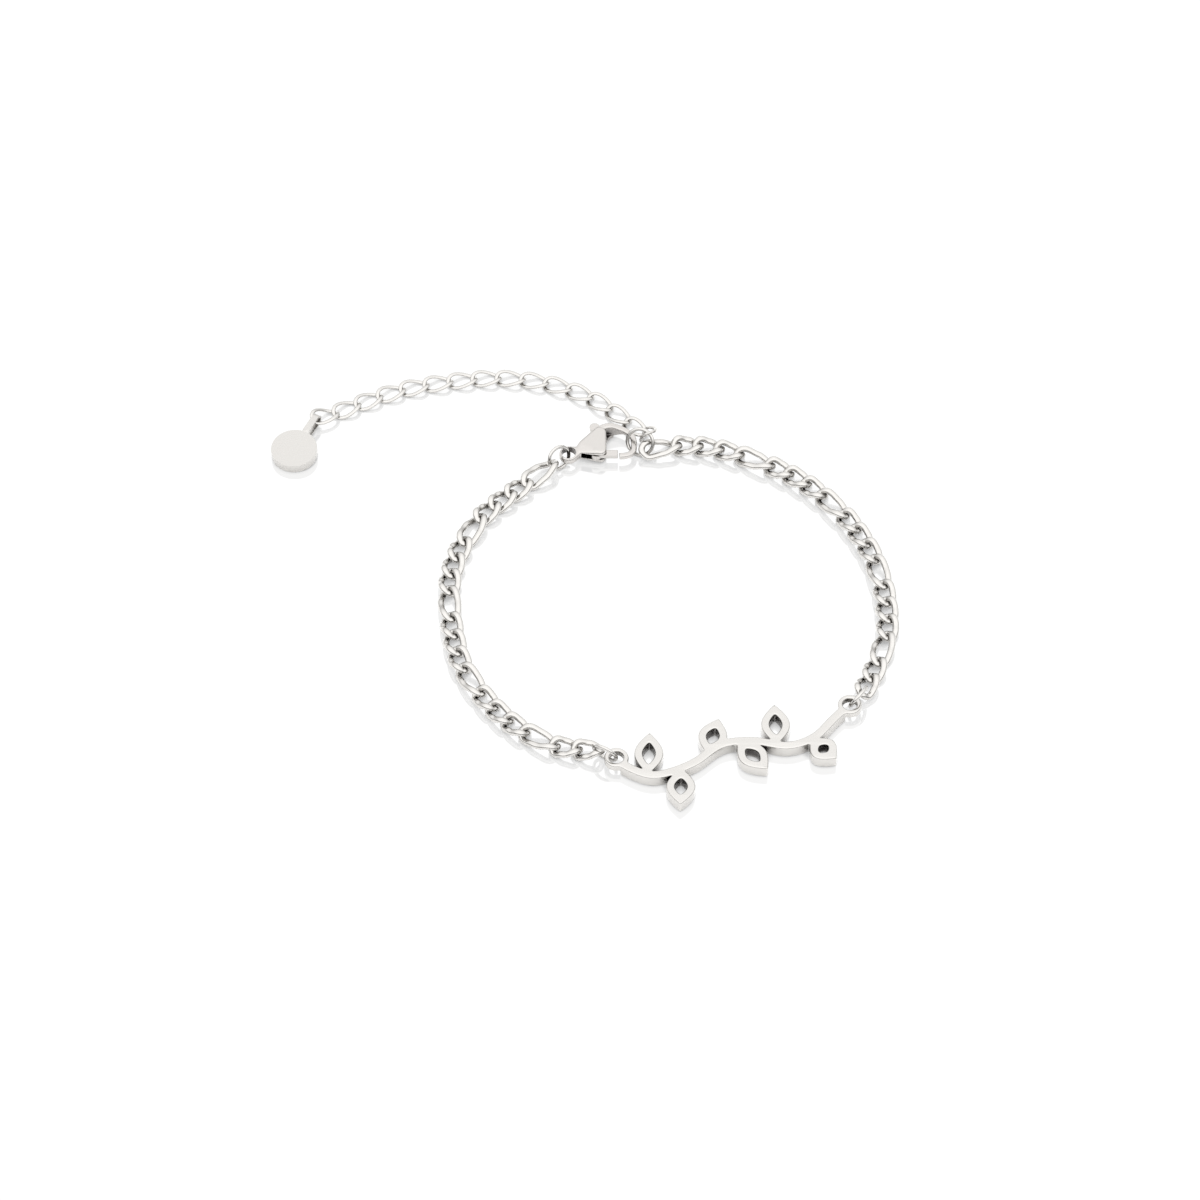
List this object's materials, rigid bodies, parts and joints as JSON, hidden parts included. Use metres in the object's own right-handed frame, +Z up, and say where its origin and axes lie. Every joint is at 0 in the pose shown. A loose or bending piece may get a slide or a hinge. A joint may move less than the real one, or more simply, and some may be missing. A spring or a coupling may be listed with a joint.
{
  "type": "nameplate bracelet",
  "caption": "Bracelet of figaro chains with a cut-out leafy plate between them, a lobster clasp hooked on a ring and an extender chain that ends in a round tag.",
  "frame": {"origin": "centre of the whole bracelet's outline, on the surface that it lies on", "axes": "+X along the bracelet's longest side, +Y towards the clasp and the extender, +Z up from the surface"},
  "size_m": [0.0754, 0.0678, 0.0034],
  "materials": {
    "chain_steel": "polished stainless steel wire, tumbled bright",
    "plate_steel": "laser-cut stainless steel plate, mirror polished with fine scratches",
    "clasp_steel": "cast stainless steel, polished",
    "tag_steel": "punched stainless steel disc, polished"
  },
  "bodies": {
    "root": {"nameplate": "plate_steel", "left_chain": "chain_steel", "right_chain": "chain_steel", "extender_chain": "chain_steel", "clasp_ring": "chain_steel", "hook_ring": "chain_steel", "left_end_ring": "chain_steel", "right_end_ring": "chain_steel", "clasp_body": "clasp_steel", "end_tag": "tag_steel"},
    "clasp_lever": {"clasp_lever": "clasp_steel"}
  },
  "joints": [
    {"name": "lever_pivot", "type": "hinge", "parent": "root", "child": "clasp_lever", "pos_m": [0.00188, 0.0197, 0.0012], "axis": [0, 0, 1], "range_deg": [0, 20], "stiffness_Nm_per_rad": 0.00002, "springref_deg": -2.86}
  ]
}
